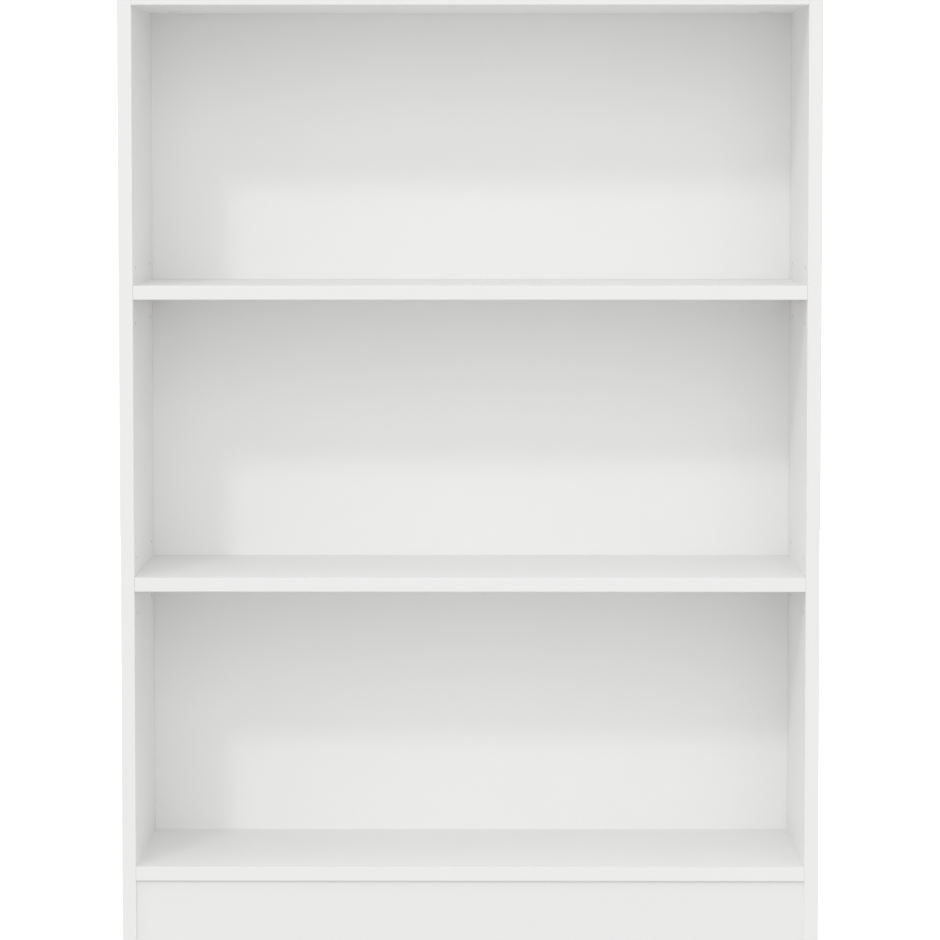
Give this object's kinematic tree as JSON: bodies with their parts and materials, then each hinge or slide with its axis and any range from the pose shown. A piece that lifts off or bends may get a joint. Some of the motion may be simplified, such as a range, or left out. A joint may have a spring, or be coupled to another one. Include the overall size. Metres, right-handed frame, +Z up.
{
  "type": "bookcase",
  "caption": "Upright open bookcase: white board sides, top and base, loose shelves on hidden pins, a set-back plinth, a grooved-in back and wall brackets.",
  "frame": {"origin": "on the floor, under the middle of the case's width and depth", "axes": "+Z up, the open front faces -Y, +X to the right seen from the front"},
  "size_m": [0.8, 0.29, 1.119],
  "materials": {
    "white_board": "white melamine on chipboard, satin",
    "white_edge_band": "white plastic edge band, satin",
    "hardboard": "hardboard, lacquered white in front and bare brown behind",
    "beech_dowel": "bare beech",
    "cam_zinc": "die-cast zinc",
    "bolt_steel": "zinc-plated steel",
    "nail_steel": "bright steel",
    "nickel_plate": "nickel-plated, satin",
    "zinc_plate": "zinc-plated steel",
    "white_plastic": "white plastic",
    "glide_plastic": "off-white hard plastic"
  },
  "bodies": {
    "case": {"side_panel_left": "white_board", "side_panel_right": "white_board", "top_panel": "white_board", "bottom_panel": "white_board", "plinth_board": "white_board", "side_left_front_band": "white_edge_band", "side_right_front_band": "white_edge_band", "side_left_top_band": "white_edge_band", "side_right_top_band": "white_edge_band", "top_panel_band": "white_edge_band", "bottom_panel_band": "white_edge_band", "back_panel": "hardboard", "upper_shelf_pin_front_left": "nickel_plate", "upper_shelf_pin_front_right": "nickel_plate", "upper_shelf_pin_rear_left": "nickel_plate", "upper_shelf_pin_rear_right": "nickel_plate", "lower_shelf_pin_front_left": "nickel_plate", "lower_shelf_pin_front_right": "nickel_plate", "lower_shelf_pin_rear_left": "nickel_plate", "lower_shelf_pin_rear_right": "nickel_plate", "floor_glide_front_left": "glide_plastic", "floor_glide_front_right": "glide_plastic", "floor_glide_rear_left": "glide_plastic", "floor_glide_rear_right": "glide_plastic", "wall_bracket_left": "zinc_plate", "wall_bracket_right": "zinc_plate", "top_cam_bolts": "bolt_steel", "bottom_cam_bolts": "bolt_steel", "plinth_cam_bolts": "bolt_steel", "top_cam_locks": "cam_zinc", "bottom_cam_locks": "cam_zinc", "plinth_cam_locks": "cam_zinc", "top_dowels": "beech_dowel", "bottom_dowels": "beech_dowel", "plinth_dowels": "beech_dowel", "top_cam_caps": "white_plastic", "back_panel_nails": "nail_steel", "glide_nails": "nail_steel", "bracket_screws": "zinc_plate"},
    "shelf_upper": {"upper_shelf": "white_board", "upper_shelf_band": "white_edge_band"},
    "shelf_lower": {"lower_shelf": "white_board", "lower_shelf_band": "white_edge_band"}
  },
  "joints": [
    {"name": "upper_shelf_slide", "type": "slide", "parent": "case", "child": "shelf_upper", "axis": [0, -1, 0], "range_m": [0, 0.28]},
    {"name": "lower_shelf_slide", "type": "slide", "parent": "case", "child": "shelf_lower", "axis": [0, -1, 0], "range_m": [0, 0.28]}
  ]
}
